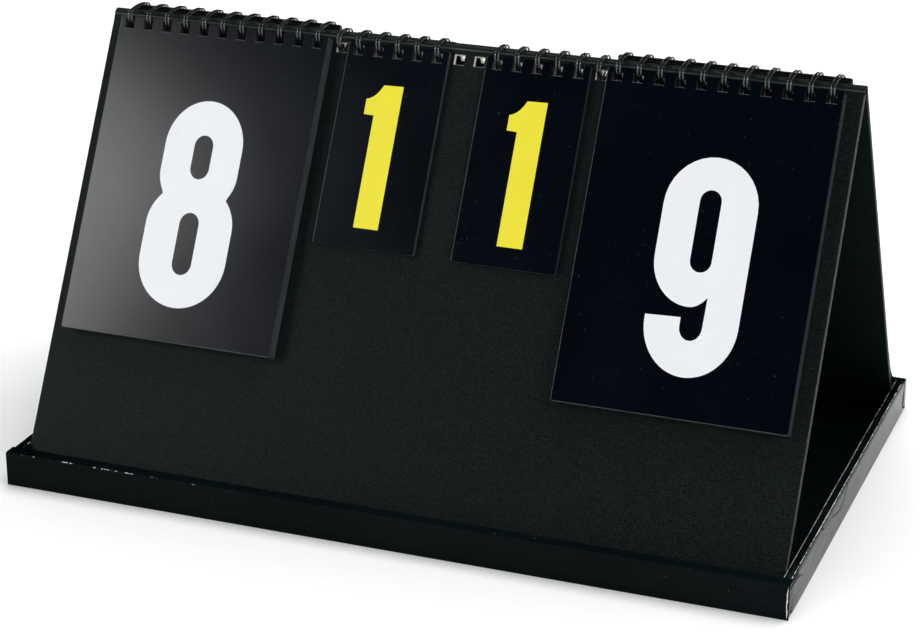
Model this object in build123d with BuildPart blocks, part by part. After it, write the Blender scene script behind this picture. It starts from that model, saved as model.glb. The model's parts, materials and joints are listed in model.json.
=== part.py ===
"""Tabletop flip scoreboard: two boards stand as a tent in a shallow tray.

Four sets of numbered cards hang on two rows of twin wire loops along the ridge
and turn over it from the front board to the rear board.
All lengths are millimetres; X runs along the ridge, Y to the rear, Z up.
"""
import os
from math import cos, pi, radians, sin

from build123d import *

os.makedirs("parts", exist_ok=True)

# ---- tray -------------------------------------------------------------------
tray_width = 327.0
tray_depth = 208.0
tray_height = 14.5
floor_thickness = 2.0
ply = 1.4
front_wall = 6.5
side_wall = 4.2
rear_wall = 4.0
tray_corner_radius = 1.2
outer_rim_radius = 0.8
tuck_length = 26.0
tuck_clearance = 0.5

# ---- tent -------------------------------------------------------------------
lean = 29.5
board_width = 318.2
board_length = 194.8
board_inner = 0.3
board_thickness = 2.4
foot_clearance = 0.3
strip_clearance = 0.3
film = 0.25
ridge_strip_tail = 1.7

# ---- punched row ------------------------------------------------------------
hole_pitch = 25.4 / 3
hole_count = 36
hole_width = 4.15
board_hole_height = 4.0
board_hole_drop = 4.35
card_hole_height = 4.2
card_hole_drop = 3.05

# ---- wire loops; centres are measured from the ridge axis -------------------
wire = 0.85
twin_spacing = 1.3
loop_sides = 10
tall_loop_centre = (-1.37, 3.46)
tall_loop_half_depth = 8.31
tall_loop_rise = 1.95
tall_loop_sag = 7.73
low_loop_centre = (-1.55, 2.03)
low_loop_half_depth = 6.23
low_loop_rise = 1.84
low_loop_sag = 6.9
closure_place = (-1.2, -4.68)

# ---- cards ------------------------------------------------------------------
card = 0.25
card_gap = 0.1
card_corner_radius = 2.0
card_corner_cut = 1.2
card_top_drop = 1.95
points_card = (93.3, 132.0)
sets_card = (43.2, 83.4)
points_holes = 11
sets_holes = 5
flipped_tilt = 0.48

# ---- rear hinge film --------------------------------------------------------
hinge_film_width = board_width
hinge_film_top = 34.0
hinge_film_leave = 26.0
hinge_film_seat = 3.0

# ---- derived places ---------------------------------------------------------
slope = radians(lean)
board_outer = board_inner + board_thickness
front_foot_y = -tray_depth / 2 + front_wall + foot_clearance + board_outer * cos(slope)
ridge_y = front_foot_y + board_length * sin(slope)
hinge_y = front_foot_y + 2 * board_length * sin(slope)
hinge_z = floor_thickness + foot_clearance
ridge_z = hinge_z + board_length * cos(slope)
card_start = board_outer + card_gap

FRONT = -1
REAR = 1


def board_plane(side, distance, tilt=0.0):
    """Plane along one board, `distance` outside the ridge axis, local Y up the slope."""
    angle = radians(lean - tilt)
    normal = (0, side * cos(angle), sin(angle))
    origin = (0, ridge_y + distance * normal[1], ridge_z + distance * normal[2])
    return Plane(origin=origin, x_dir=(-side, 0, 0), z_dir=normal)


def hole_x(number):
    """X of a punched hole, counted from 1 at the left end of the row."""
    return (number - (hole_count + 1) / 2) * hole_pitch


def punched_board(side):
    """One board of the tent with the full row of holes below its top edge."""
    with BuildPart() as board:
        with BuildSketch(board_plane(side, board_inner)):
            with Locations((0, -board_length / 2)):
                Rectangle(board_width, board_length)
            with Locations((0, -board_hole_drop)):
                with GridLocations(hole_pitch, 0, hole_count, 1):
                    Rectangle(hole_width, board_hole_height, mode=Mode.SUBTRACT)
        extrude(amount=board_thickness)
    return board.part


def card_block(side, middle, size, holes, inner, thickness, top_drop=card_top_drop, tilt=0, rounded=False):
    """One card, or a wad of equal cards, punched for its loops; a `rounded` one has arcs at its corners."""
    width, height = size
    middle_x = -side * middle
    with BuildPart() as block:
        with BuildSketch(board_plane(side, inner, tilt)) as outline:
            with Locations((middle_x, -top_drop - height / 2)):
                Rectangle(width, height)
            if rounded:
                fillet(outline.vertices(), card_corner_radius)
            else:
                chamfer(outline.vertices(), card_corner_cut)
            with Locations((middle_x, -top_drop - card_hole_drop)):
                with GridLocations(hole_pitch, 0, holes, 1):
                    Rectangle(hole_width, card_hole_height, mode=Mode.SUBTRACT)
        extrude(amount=thickness)
    return block.part


def front_cards(middle, size, holes, resting):
    """The stack left on the front board, the next card and the card that flips."""
    stack = resting * card
    wads = 2
    with BuildPart() as stack_node:
        for wad in range(wads):
            inner = card_start + wad * stack / wads
            thickness = stack / wads
            if wad:
                inner += card_gap / 2
                thickness -= card_gap / 2
            add(card_block(FRONT, middle, size, holes, inner, thickness))
    next_inner = card_start + stack + card_gap / 2
    flip_inner = next_inner + card + card_gap
    next_card = card_block(FRONT, middle, size, holes, next_inner, card)
    flip_card = card_block(FRONT, middle, size, holes, flip_inner, card, rounded=True)
    return stack_node.part, next_card, flip_card


def hang_over(middle, size, holes, layers):
    """The cards already turned to the rear; each layer is (distance, thickness, top drop)."""
    with BuildPart() as pile:
        for distance, thickness, top_drop in layers:
            add(card_block(REAR, middle, size, holes, distance, thickness, top_drop, flipped_tilt))
    return pile.part


def oval(half_depth, rise, sag, growth):
    """Corner points of a loop's outline, flatter above its centre than below, grown by `growth`."""
    outline = []
    reach = 1 / cos(pi / loop_sides / 1.6)
    for corner in range(loop_sides):
        angle = 2 * pi * (corner + 0.5) / loop_sides
        half_height = rise if sin(angle) > 0 else sag
        across = (half_depth + growth) * reach * cos(angle)
        upward = (half_height + growth) * reach * sin(angle)
        outline.append((across, upward))
    return outline


def save(part, name):
    part.label = name
    export_step(part, f"parts/{name}.step")


# ---- tray: floor and four folded walls --------------------------------------
with BuildPart() as tray_floor:
    with BuildSketch():
        RectangleRounded(tray_width, tray_depth, tray_corner_radius)
    extrude(amount=floor_thickness)
save(tray_floor.part, "tray_floor")

wall_height = tray_height - floor_thickness


def folded_wall(thickness, length, hollow_length):
    """A hollow wall folded over from one sheet: outer ply at -Y, rim on top, inner ply."""
    with BuildPart() as wall:
        Box(length, thickness, wall_height, align=(Align.CENTER, Align.CENTER, Align.MIN))
        Box(
            hollow_length,
            thickness - 2 * ply,
            wall_height - ply,
            align=(Align.CENTER, Align.CENTER, Align.MIN),
            mode=Mode.SUBTRACT,
        )
        rim = wall.faces().sort_by(Axis.Z)[-1].edges().filter_by(Axis.X).sort_by(Axis.Y)
        if hollow_length < length:
            corners = wall.edges().filter_by(Axis.Z).group_by(Axis.Y)[0]
            fillet(corners, tray_corner_radius)
            rim = wall.faces().sort_by(Axis.Z)[-1].edges().filter_by(Axis.X).sort_by(Axis.Y)
        fillet(rim[0], outer_rim_radius)
    return wall.part


def end_wall(thickness):
    """A front or rear wall: full width, closed and rounded at its outer corners."""
    return folded_wall(thickness, tray_width, tray_width - 2 * ply)


front_place = Location((0, -tray_depth / 2 + front_wall / 2, floor_thickness))
rear_place = Location((0, tray_depth / 2 - rear_wall / 2, floor_thickness), (0, 0, 180))
save(front_place * end_wall(front_wall), "tray_front_wall")
save(rear_place * end_wall(rear_wall), "tray_rear_wall")

side_length = tray_depth - front_wall - rear_wall
side_middle_y = (front_wall - rear_wall) / 2
for side, name in ((-1, "tray_left_wall"), (1, "tray_right_wall")):
    side_x = side * (tray_width - side_wall) / 2
    place = Location((side_x, side_middle_y, floor_thickness), (0, 0, side * 90))
    save(place * folded_wall(side_wall, side_length, side_length), name)

tuck_height = wall_height - ply - tuck_clearance
tuck_x = tray_width / 2 - ply - tuck_clearance - tuck_length / 2
with BuildPart() as tray_corner_tucks:
    for side_y, thickness in ((-1, front_wall), (1, rear_wall)):
        tuck_y = side_y * (tray_depth / 2 - ply) - side_y * (thickness - 2 * ply) / 4
        tuck_thickness = (thickness - 2 * ply) / 2
        with Locations((-tuck_x, tuck_y, floor_thickness), (tuck_x, tuck_y, floor_thickness)):
            Box(tuck_length, tuck_thickness, tuck_height, align=(Align.CENTER, Align.CENTER, Align.MIN))
save(tray_corner_tucks.part, "tray_corner_tucks")

# ---- tent boards and the strips that join them ------------------------------
save(punched_board(FRONT), "front_board")
save(punched_board(REAR), "rear_board")

strip_inner = board_outer + strip_clearance
strip_outer = strip_inner + film
with BuildPart() as ridge_strip:
    with BuildSketch(Plane.YZ) as arc_profile:
        with Locations((ridge_y, ridge_z)):
            Circle(strip_outer)
            Circle(strip_inner, mode=Mode.SUBTRACT)
            Polygon(
                (0, 0),
                (-3 * strip_outer * cos(slope), 3 * strip_outer * sin(slope)),
                (-3 * strip_outer, -3 * strip_outer),
                (3 * strip_outer, -3 * strip_outer),
                (3 * strip_outer * cos(slope), 3 * strip_outer * sin(slope)),
                mode=Mode.SUBTRACT,
            )
    extrude(amount=board_width / 2, both=True)
    with BuildSketch(board_plane(REAR, board_outer)):
        Rectangle(board_width, ridge_strip_tail, align=(Align.CENTER, Align.MAX))
    extrude(amount=strip_outer - board_outer)
save(ridge_strip.part, "ridge_strip")


def rear_face_point(height, distance):
    """Point of the YZ section on a line `distance` outside the rear board's axis plane."""
    down = (ridge_z + distance * sin(slope) - height) / cos(slope)
    return ridge_y + distance * cos(slope) + down * sin(slope), height


rear_wall_inside = tray_depth / 2 - rear_wall
film_outer = board_outer + film
film_bends = ((10.3, 6.6), (6.8, 3.6), (3.0, 1.5))


def hinge_film_line(distance, rise):
    """Section points of one face of the film, from the board down to the wall's rim."""
    leave = rear_face_point(hinge_film_leave, distance)
    sag = [(rear_wall_inside - back + rise, tray_height + up + rise) for back, up in film_bends]
    seat = (rear_wall_inside + 0.6, tray_height + rise)
    seat_end = (rear_wall_inside + hinge_film_seat, tray_height + rise)
    return [rear_face_point(hinge_film_top, distance), leave, *sag, seat, seat_end]


with BuildPart() as rear_hinge_strip:
    with BuildSketch(Plane.YZ):
        under = hinge_film_line(board_outer, 0)
        over = hinge_film_line(film_outer, film)
        Polygon(*under, *reversed(over), align=None)
    extrude(amount=hinge_film_width / 2, both=True)
save(rear_hinge_strip.part, "rear_hinge_strip")

# ---- twin-loop wires --------------------------------------------------------
closure_y = ridge_y + closure_place[0]
closure_z = ridge_z + closure_place[1]


def single_loop(centre, *sizes):
    """One closed loop of wire in the YZ plane; sizes are half depth, rise and sag."""
    with BuildPart() as loop:
        with BuildSketch(Plane.YZ):
            with Locations((ridge_y + centre[0], ridge_z + centre[1])):
                Polygon(*oval(*sizes, wire / 2), align=None)
                Polygon(*oval(*sizes, -wire / 2), align=None, mode=Mode.SUBTRACT)
        extrude(amount=wire / 2, both=True)
    return loop.part


tall_loop = single_loop(tall_loop_centre, tall_loop_half_depth, tall_loop_rise, tall_loop_sag)
low_loop = single_loop(low_loop_centre, low_loop_half_depth, low_loop_rise, low_loop_sag)


def twins(numbers):
    """Places of the two wires of each numbered loop."""
    return [(hole_x(number) + side * twin_spacing / 2, 0, 0) for number in numbers for side in (-1, 1)]


def wire_element(tall, low):
    """A run of twin loops joined by their tips and the links of the closure line."""
    centres = sorted(hole_x(number) for number in (*tall, *low))
    with BuildPart() as element:
        with Locations(*twins(tall)):
            add(tall_loop)
        with Locations(*twins(low)):
            add(low_loop)
        with Locations(*[(x, closure_y, closure_z) for x in centres]):
            Box(twin_spacing, wire, wire)
        gaps = [x + hole_pitch / 2 for x in centres[:-1]]
        with Locations(*[(x, closure_y, closure_z) for x in gaps]):
            Box(hole_pitch - twin_spacing, wire, wire)
    return element.part


save(wire_element(range(1, 12), range(12, 18)), "left_wire")
save(wire_element(range(26, 37), range(20, 26)), "right_wire")

# ---- four sets of cards -----------------------------------------------------
left_points_x = hole_x(6)
left_sets_x = hole_x(15)
right_sets_x = hole_x(22)
right_points_x = hole_x(31)

card_sets = {
    "left_points": (left_points_x, points_card, points_holes, 21, ((3.9, 1.0, -0.9), (4.95, 1.0, -1.4))),
    "left_sets": (left_sets_x, sets_card, sets_holes, 7, ((3.5, 0.25, -0.8),)),
    "right_sets": (right_sets_x, sets_card, sets_holes, 7, ((3.5, 0.25, 0.2),)),
    "right_points": (right_points_x, points_card, points_holes, 21, ((3.9, 1.0, -0.9), (4.95, 1.0, -1.3))),
}
for name, (middle, size, holes, resting, layers) in card_sets.items():
    stack, next_card, flip_card = front_cards(middle, size, holes, resting)
    save(stack, f"{name}_front_stack")
    save(next_card, f"{name}_next_card")
    save(flip_card, f"{name}_flip_card")
    save(hang_over(middle, size, holes, layers), f"{name}_flipped_stack")
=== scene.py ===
"""Tabletop flip scoreboard: a tent of two boards in a wrapped tray, with cards on twin wire loops.

Laid out as an add-on: settings, one operator for each group of like pieces, one panel.
All lengths inside the file are metres; the settings are shown in the scene's length unit.
"""

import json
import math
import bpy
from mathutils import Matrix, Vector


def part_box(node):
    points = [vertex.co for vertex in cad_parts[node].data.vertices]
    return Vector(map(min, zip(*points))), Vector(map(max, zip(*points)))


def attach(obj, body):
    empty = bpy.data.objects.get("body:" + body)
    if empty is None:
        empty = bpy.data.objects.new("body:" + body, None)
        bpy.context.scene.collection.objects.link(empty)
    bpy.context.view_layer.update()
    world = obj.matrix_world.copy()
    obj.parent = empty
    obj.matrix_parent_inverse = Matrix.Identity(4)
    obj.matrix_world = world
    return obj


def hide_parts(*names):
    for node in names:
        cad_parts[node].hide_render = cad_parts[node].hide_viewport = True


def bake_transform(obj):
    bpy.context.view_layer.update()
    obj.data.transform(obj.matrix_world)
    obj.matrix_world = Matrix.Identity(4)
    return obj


bl_info = {
    "name": "Flip Scoreboard",
    "version": (1, 0, 0),
    "blender": (4, 5, 0),
    "location": "View3D > Sidebar > Scoreboard",
    "description": "Builds the pieces and finishes of a tabletop flip scoreboard",
    "category": "Object",
}

from collections import namedtuple

import bmesh
import bpy
from bpy.props import FloatProperty, FloatVectorProperty, IntProperty, PointerProperty
from mathutils import Matrix, Vector, noise

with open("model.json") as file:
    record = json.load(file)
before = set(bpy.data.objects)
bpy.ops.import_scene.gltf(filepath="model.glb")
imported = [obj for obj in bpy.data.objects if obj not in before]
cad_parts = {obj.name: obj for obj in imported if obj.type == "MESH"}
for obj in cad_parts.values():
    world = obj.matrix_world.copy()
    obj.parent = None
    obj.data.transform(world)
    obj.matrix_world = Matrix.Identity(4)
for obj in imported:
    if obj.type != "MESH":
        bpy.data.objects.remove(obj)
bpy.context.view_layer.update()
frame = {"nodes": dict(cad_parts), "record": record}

MM = 0.001
FRONT = -1
REAR = 1
LEAN = math.radians(29.5)
BOARD_INNER = 0.3 * MM
BOARD_OUTER = 2.7 * MM
BOARD_THICKNESS = BOARD_OUTER - BOARD_INNER
HOLE_PITCH = 25.4 / 3 * MM
HOLE_COUNT = 36
CARD_GAP = 0.1 * MM
TURNED_TILT = math.radians(0.48)


def joint_place(name):
    """Where a joint's axis stands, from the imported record."""
    for joint in frame["record"]["behaviour"]["joints"]:
        if joint["name"] == name:
            return Vector(joint["pos_m"])
    raise RuntimeError(f"the record has no joint {name}")


RIDGE = joint_place("ridge_fold")
HINGE = joint_place("rear_hinge")
BOARD_LENGTH = (RIDGE - HINGE).length

# Each set of cards: its kind, middle hole, holes, card sheets resting on the front stack,
# layers already turned over (distance out, top drop, sheets), the numeral that shows and the
# one behind it, and how far that print stands beside the middle hole and below the ridge.
CardSet = namedtuple("CardSet", "kind middle holes resting layers shown following beside below")
CARD_SETS = {
    "left_points": CardSet("points", 6, 11, 21, ((3.9, -0.9, 4), (4.95, -1.4, 4)), "8", "9", 1.4, 33.8),
    "left_sets": CardSet("sets", 15, 5, 7, ((3.5, -0.8, 1),), "1", "2", -0.4, 18.3),
    "right_sets": CardSet("sets", 22, 5, 7, ((3.5, 0.2, 1),), "1", "2", 1.2, 18.3),
    "right_points": CardSet("points", 31, 11, 21, ((3.9, -0.9, 4), (4.95, -1.3, 4)), "9", "10", 3.0, 32.7),
}
NUMERAL_HEIGHT = {"points": 86.0 * MM, "sets": 58.8 * MM}
PRINT_THICKNESS = 0.03 * MM


# ---- settings ---------------------------------------------------------------
def length(name, description, default):
    words = {"name": name, "description": description}
    return FloatProperty(**words, default=default * MM, unit="LENGTH", precision=5)


def colour(name, description, default):
    words = {"name": name, "description": description}
    return FloatVectorProperty(**words, default=default, subtype="COLOR", min=0, max=1)


def power(name, description, default):
    words = {"name": name, "description": f"Power of the {description}"}
    return FloatProperty(**words, default=default, unit="POWER")


class TraySettings(bpy.types.PropertyGroup):
    height: length("Height", "Height of the tray's rim above the table", 14.5)
    front_rim: length("Front rim", "Width of the front wall's rim", 6.5)
    side_rim: length("Side rim", "Width of a side wall's rim", 4.2)
    rear_rim: length("Rear rim", "Width of the rear wall's rim", 4.0)
    crease: length("Crease", "Rounding of the film over the outer crease", 0.75)
    wrinkle: length("Wrinkle", "Height of the wrinkles in the film", 0.11)
    film: colour("Film", "Colour of the wrapping film", (0.0012, 0.0034, 0.0037))


class TentSettings(bpy.types.PropertyGroup):
    width: length("Width", "Width of the two boards along the ridge", 318.2)
    hole_width: length("Hole width", "Width of a punched hole", 4.15)
    hole_height: length("Hole height", "Height of a hole in a board", 4.0)
    hole_drop: length("Hole drop", "Hole centre below the ridge axis", 4.35)
    edge: length("Edge", "Rounding of the covered board edges", 0.35)
    paper: colour("Paper", "Colour of the covering paper", (0.0018, 0.0058, 0.0054))


class WireSettings(bpy.types.PropertyGroup):
    thickness: length("Thickness", "Thickness of the coated wire", 0.85)
    twin: length("Twin spacing", "Distance between the two wires of a loop", 1.3)
    tall_depth: length("Tall half depth", "Half depth of a loop round the points cards", 8.31)
    tall_rise: length("Tall rise", "Height of that loop above its centre", 1.95)
    tall_sag: length("Tall sag", "Depth of that loop below its centre", 7.73)
    low_depth: length("Low half depth", "Half depth of a loop round the sets cards", 6.23)
    low_rise: length("Low rise", "Height of that loop above its centre", 1.84)
    low_sag: length("Low sag", "Depth of that loop below its centre", 6.9)
    coat: colour("Coating", "Colour of the coating on the wire", (0.006, 0.006, 0.007))


class CardSettings(bpy.types.PropertyGroup):
    points_width: length("Points width", "Width of a points card", 93.3)
    points_height: length("Points height", "Height of a points card", 132.0)
    sets_width: length("Sets width", "Width of a sets card", 43.2)
    sets_height: length("Sets height", "Height of a sets card", 83.4)
    thickness: length("Thickness", "Thickness of one card", 0.25)
    corner: length("Corner", "Corner radius of a card", 0.9)
    top_drop: length("Top drop", "Top edge of a card below the ridge axis", 1.95)
    hole_width: length("Hole width", "Width of a hole in a card", 4.15)
    hole_drop: length("Hole drop", "Hole centre below the card's top edge", 3.05)
    hole_height: length("Hole height", "Height of a hole in a card", 4.2)
    # The rim is drawn pale: partly rubbed laminate, partly painted highlight on the card's edges and holes.
    rim: length("Rubbed rim", "Width of the rubbed rim on the front card", 0.2)
    stray: length("Stray", "How far one sheet of a stack strays from the next", 0.12)
    seed: IntProperty(name="Seed", description="Seed of the stray of the sheets", default=7)
    face: colour("Face", "Colour of the coated card face", (0.0002, 0.0018, 0.0046))
    points_ink: colour("Points ink", "Colour of the points numerals", (0.84, 0.85, 0.86))
    sets_ink: colour("Sets ink", "Colour of the sets numerals", (0.86, 0.76, 0.012))


class StageSettings(bpy.types.PropertyGroup):
    focal: FloatProperty(name="Focal length", description="Lens of the camera in mm", default=101.6)
    floor: colour("Floor", "Colour of the pale floor", (0.86, 0.86, 0.86))
    overhead: power("Overhead", "overhead softbox", 45.0)
    side_box: power("Side box", "softbox at the left", 10.0)
    rear_box: power("Rear box", "softbox behind", 1.5)
    strip: power("Strip", "strip light at the right", 34.0)
    top_strip: power("Top strip", "strip light above", 10.0)
    surround: FloatProperty(name="Surround", description="Strength of the even light all round", default=0.8)


SETTINGS = {
    "board_tray": TraySettings,
    "board_tent": TentSettings,
    "board_wires": WireSettings,
    "board_cards": CardSettings,
    "board_stage": StageSettings,
}


# ---- places on the two boards -----------------------------------------------
def outward(side, tilt=0.0):
    return Vector((0, side * math.cos(LEAN - tilt), math.sin(LEAN - tilt)))


def uphill(side, tilt=0.0):
    return Vector((0, -side * math.sin(LEAN - tilt), math.cos(LEAN - tilt)))


def board_place(side, distance, across=0.0, down=0.0, tilt=0.0):
    """Matrix that lays a flat sheet, drawn in XY with Z outwards, along one board."""
    axes = Vector((-side, 0, 0)), uphill(side, tilt), outward(side, tilt)
    place = Matrix(axes).transposed().to_4x4()
    place.translation = RIDGE + distance * axes[2]
    return place @ Matrix.Translation((-side * across, -down, 0))


def on_cover(side, down):
    """(y, z) of a point just clear of a board's cover, down the slope from the ridge axis."""
    spot = RIDGE + outward(side) * (BOARD_OUTER + 0.02 * MM) - uphill(side) * down
    return Vector((spot.y, spot.z))


def hole_x(number):
    return (number - (HOLE_COUNT + 1) / 2) * HOLE_PITCH


# ---- small tools for meshes -------------------------------------------------
def finish(name):
    material = bpy.data.materials.get(name)
    if material is None:
        raise RuntimeError(f"make the finishes first: {name} is missing")
    return material


def put_in_scene(name, mesh, *finishes):
    piece = bpy.data.objects.new(name, mesh)
    bpy.context.scene.collection.objects.link(piece)
    for label in finishes:
        mesh.materials.append(finish(label))
    return piece


def smooth(mesh, angle):
    mesh.shade_smooth()
    mesh.set_sharp_from_angle(angle=math.radians(angle))


def piece_from(name, shape, angle, label):
    """A closed shape as a smoothed piece, with its faces outwards and a finish."""
    mesh = bpy.data.meshes.new(name)
    bmesh.ops.recalc_face_normals(shape, faces=shape.faces)
    shape.to_mesh(mesh)
    shape.free()
    smooth(mesh, angle)
    return put_in_scene(name, mesh, label)


def close_tube(shape, rings):
    """Join rings of vertices into a tube and close its two ends."""
    for first, second in zip(rings, rings[1:]):
        for i in range(len(first)):
            shape.faces.new((first[i - 1], first[i], second[i], second[i - 1]))
    shape.faces.new(rings[0][::-1])
    shape.faces.new(rings[-1])


def close_sheet(shape, rows):
    """Join rows of (under, over) vertex pairs into a sheet that is closed all round."""
    for near, far in zip(rows, rows[1:]):
        for j in range(1, len(near)):
            for level in (0, 1):
                corners = near[j - 1], near[j], far[j], far[j - 1]
                shape.faces.new([pair[level] for pair in corners])
    right = [row[-1] for row in rows[:-1]]
    left = [row[0] for row in rows[:0:-1]]
    rim = rows[0][:-1] + right + rows[-1][:0:-1] + left
    for pair, following in zip(rim, rim[1:] + rim[:1]):
        shape.faces.new((pair[0], following[0], following[1], pair[1]))


def settle(piece, body, slot, *nodes):
    """The piece rides on a body and stands for the nodes; the slot is not used."""
    if body:
        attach(piece, body)
    if nodes:
        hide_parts(*nodes)


def bake(piece):
    """Replace the piece's mesh by the one its modifiers make."""
    evaluated = piece.evaluated_get(bpy.context.evaluated_depsgraph_get())
    mesh = bpy.data.meshes.new_from_object(evaluated)
    mesh.name = piece.name
    piece.modifiers.clear()
    old = piece.data
    piece.data = mesh
    if old.users == 0:
        bpy.data.meshes.remove(old)


def grow(name, tree, values, *finishes):
    """Run a geometry tree on an empty mesh and keep the plain result, with its finishes."""
    values["Material"] = finish(finishes[0])
    piece = put_in_scene(name, bpy.data.meshes.new(name))
    modifier = piece.modifiers.new("Build", "NODES")
    modifier.node_group = tree
    for item in tree.interface.items_tree:
        if item.in_out == "INPUT":
            modifier[item.identifier] = values[item.name]
    bpy.context.view_layer.update()
    bake(piece)
    if not piece.data.polygons:
        raise RuntimeError(f"{name} came out empty")
    piece.data.materials.clear()
    for label in finishes:
        piece.data.materials.append(finish(label))
    return piece


# ---- node trees -------------------------------------------------------------
class Recipe:
    """A node tree being written: each step adds a node and hands on one of its outputs."""

    def __init__(self, tree):
        self.tree = tree

    def feed(self, socket, *values):
        """Join a socket to others, or set its value."""
        for value in values:
            if isinstance(value, bpy.types.NodeSocket):
                self.tree.links.new(value, socket)
            else:
                socket.default_value = value

    def add(self, kind, inputs, output=0, **settings):
        made = self.tree.nodes.new(kind)
        row, column = divmod(len(self.tree.nodes), 10)
        made.location = (220 * column, -300 * row)
        for key, value in settings.items():
            setattr(made, key, value)
        for key, value in inputs.items():
            self.feed(made.inputs[key], value)
        return made.outputs[output]

    def maths(self, operation, *values):
        return self.add("ShaderNodeMath", dict(enumerate(values)), operation=operation)

    def times(self, first, second):
        return self.maths("MULTIPLY", first, second)

    def plus(self, first, second):
        return self.maths("ADD", first, second)

    def minus(self, first, second):
        return self.maths("SUBTRACT", first, second)

    def vector(self, x=0.0, y=0.0, z=0.0):
        return self.add("ShaderNodeCombineXYZ", {"X": x, "Y": y, "Z": z})


class ShapeRecipe(Recipe):
    """Geometry with named inputs."""

    def __init__(self, name, inputs):
        super().__init__(bpy.data.node_groups.new(name, "GeometryNodeTree"))
        sockets = self.tree.interface
        for kind, labels in inputs.items():
            for label in labels:
                sockets.new_socket(name=label, in_out="INPUT", socket_type=f"NodeSocket{kind}")
        sockets.new_socket(name="Geometry", in_out="OUTPUT", socket_type="NodeSocketGeometry")
        self.given = self.tree.nodes.new("NodeGroupInput").outputs

    def feed(self, socket, *values):
        """Join a socket to others, or set its value; a word stands for the tree's own input."""
        super().feed(socket, *(self.given[value] if isinstance(value, str) else value for value in values))

    def join(self, *parts):
        joined = self.add("GeometryNodeJoinGeometry", {})
        self.feed(joined.node.inputs[0], *parts)
        return joined

    def line(self, count, offset, start=(0, 0, 0)):
        places = {"Count": count, "Start Location": start, "Offset": offset}
        return self.add("GeometryNodeMeshLine", places, mode="OFFSET")

    def copies(self, shape, points):
        placed = self.add("GeometryNodeInstanceOnPoints", {"Points": points, "Instance": shape})
        return self.add("GeometryNodeRealizeInstances", {0: placed})

    def complete(self, shape):
        """Give the real shape its material and hand it to the tree's output."""
        real = self.add("GeometryNodeRealizeInstances", {0: shape})
        finished = self.add("GeometryNodeSetMaterial", {"Geometry": real, "Material": "Material"})
        self.feed(self.tree.nodes.new("NodeGroupOutput").inputs[0], finished)
        return self.tree

    def chosen(self, factor, kind):
        """The parts of the low or the tall loop's vector, by a factor of 0 or 1."""
        pair = {0: factor, 4: f"Low {kind}", 5: f"Tall {kind}"}
        mixed = self.add("ShaderNodeMix", pair, 1, data_type="VECTOR")
        return self.add("ShaderNodeSeparateXYZ", {0: mixed}).node.outputs

    def bent(self, value, *corners):
        """Piecewise straight map of a 0 to 1 value."""
        mapped = self.add("ShaderNodeFloatCurve", {"Value": value})
        curve = mapped.node.mapping.curves[0]
        curve.points[0].location = corners[0]
        curve.points[1].location = corners[-1]
        for corner in corners[1:-1]:
            curve.points.new(*corner)
        for point in curve.points:
            point.handle_type = "VECTOR"
        mapped.node.mapping.update()
        return mapped


def sheet_tree():
    """Punched sheets: a rounded outline with a row of holes, given a thickness and repeated."""
    inputs = {
        "Float": [
            *("Width", "Height", "Corner", "Thickness", "Sheet pitch", "Stray"),
            *("Hole pitch", "Hole width", "Hole height", "Hole drop"),
        ],
        "Int": ["Holes", "Sheets", "Seed"],
        "Material": ["Material"],
    }
    tree = ShapeRecipe("Punched sheets", inputs)
    corner_steps = 5
    weld = 1e-6

    box = "GeometryNodeCurvePrimitiveQuadrilateral"
    outline = tree.add(box, {"Width": "Width", "Height": "Height"})
    arcs = {"Curve": outline, "Count": corner_steps, "Radius": "Corner"}
    rounded = tree.add("GeometryNodeFilletCurve", arcs, mode="POLY")
    below = tree.vector(y=tree.times("Height", -0.5))
    hung = tree.add("GeometryNodeTransform", {"Geometry": rounded, "Translation": below})

    hole = tree.add(box, {"Width": "Hole width", "Height": "Hole height"})
    run = tree.times(tree.minus("Holes", 1.0), "Hole pitch")
    first = tree.vector(tree.times(run, -0.5), tree.times("Hole drop", -1.0))
    holes = tree.copies(hole, tree.line("Holes", tree.vector("Hole pitch"), first))

    flat = tree.add("GeometryNodeFillCurve", {0: tree.join(hung, holes)}, mode="TRIANGLES")
    push = {"Mesh": flat, "Offset": tree.vector(z=1.0), "Offset Scale": "Thickness", "Individual": False}
    raised = tree.add("GeometryNodeExtrudeMesh", push, "Mesh", mode="FACES")
    back = tree.add("GeometryNodeFlipFaces", {0: flat})
    welding = {"Geometry": tree.join(raised, back), "Distance": weld}
    sheet = tree.add("GeometryNodeMergeByDistance", welding)

    pile = tree.line("Sheets", tree.vector(z="Sheet pitch"))
    span = {
        "Min": tree.vector(tree.times("Stray", -1.0)),
        "Max": tree.vector("Stray", "Stray"),
        "Seed": "Seed",
    }
    stray = tree.add("FunctionNodeRandomValue", span, "Value", data_type="FLOAT_VECTOR")
    spread = tree.add("GeometryNodeSetPosition", {"Geometry": pile, "Offset": stray})
    return tree.complete(tree.copies(sheet, spread))


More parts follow.
